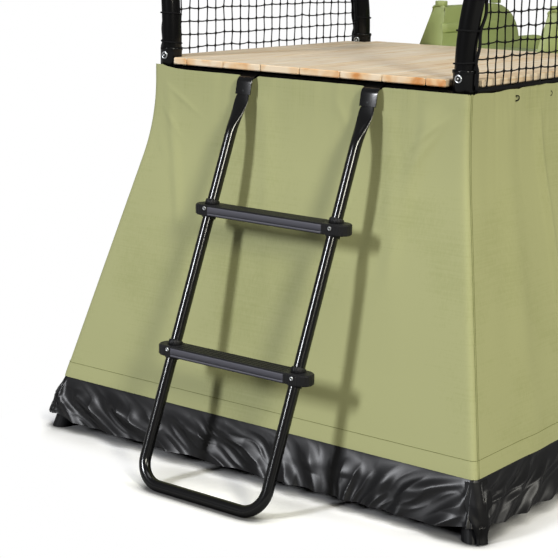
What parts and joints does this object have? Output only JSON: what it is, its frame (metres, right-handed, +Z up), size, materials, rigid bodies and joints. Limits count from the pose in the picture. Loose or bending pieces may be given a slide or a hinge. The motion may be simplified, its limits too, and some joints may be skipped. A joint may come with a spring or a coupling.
{
  "type": "raised play platform",
  "caption": "Raised play platform on splayed tube legs with a plank deck, side nets, a tent skirt, a hook-on ladder and a slide",
  "frame": {"origin": "on the ground, at the middle of the whole footprint", "axes": "+Z up, +Y from the ladder to the slide, +X to the right when facing the ladder side"},
  "size_m": [1.4276, 3.3359, 1.9406],
  "materials": {
    "black_steel": "black gloss powder coat on steel tube",
    "black_plastic": "black moulded plastic, lightly textured",
    "pine": "planed pine, clear matt finish",
    "zinc": "bright zinc plating",
    "net_cord": "black braided cord",
    "green_cloth": "olive green woven tent cloth",
    "black_cloth": "black coated nylon",
    "green_plastic": "light green moulded plastic, satin"
  },
  "bodies": {
    "tower": {"leg_front_left": "black_steel", "foot_front_left": "black_plastic", "collar_front_left": "black_steel", "collar_bolt_front_left": "zinc", "bow_front_left": "black_steel", "leg_front_right": "black_steel", "foot_front_right": "black_plastic", "collar_front_right": "black_steel", "collar_bolt_front_right": "zinc", "bow_front_right": "black_steel", "leg_rear_left": "black_steel", "foot_rear_left": "black_plastic", "collar_rear_left": "black_steel", "collar_bolt_rear_left": "zinc", "bow_rear_left": "black_steel", "leg_rear_right": "black_steel", "foot_rear_right": "black_plastic", "collar_rear_right": "black_steel", "collar_bolt_rear_right": "zinc", "bow_rear_right": "black_steel", "front_rail": "black_steel", "rear_rail": "black_steel", "left_rail": "black_steel", "right_rail": "black_steel", "deck_bearer_1": "black_steel", "deck_bearer_2": "black_steel", "deck_bearer_3": "black_steel", "deck_plank_1": "pine", "deck_plank_2": "pine", "deck_plank_3": "pine", "deck_plank_4": "pine", "deck_plank_5": "pine", "deck_plank_6": "pine", "deck_plank_7": "pine", "deck_plank_8": "pine", "bow_joint_left": "black_plastic", "net_left": "net_cord", "bow_joint_right": "black_plastic", "net_right": "net_cord", "tent_front": "green_cloth", "tent_left": "green_cloth", "tent_rear": "green_cloth", "tent_right_front": "green_cloth", "tent_right_rear": "green_cloth", "ground_flap_front": "black_cloth", "ground_flap_right": "black_cloth", "ground_flap_rear": "black_cloth", "ground_flap_left": "black_cloth", "slide_chute": "green_plastic", "slide_cap_left_1": "green_plastic", "slide_cap_left_2": "green_plastic", "slide_cap_right_1": "green_plastic", "slide_cap_right_2": "green_plastic"},
    "ladder": {"ladder_tube": "black_steel", "ladder_hook_left": "black_steel", "ladder_hook_right": "black_steel", "tread_lower": "black_plastic", "tread_upper": "black_plastic"}
  },
  "joints": [
    {"name": "ladder_swing", "type": "hinge", "parent": "tower", "child": "ladder", "pos_m": [0.032, -1.20698, 1.002], "axis": [-1, 0, 0], "range_deg": [0, 30]}
  ]
}
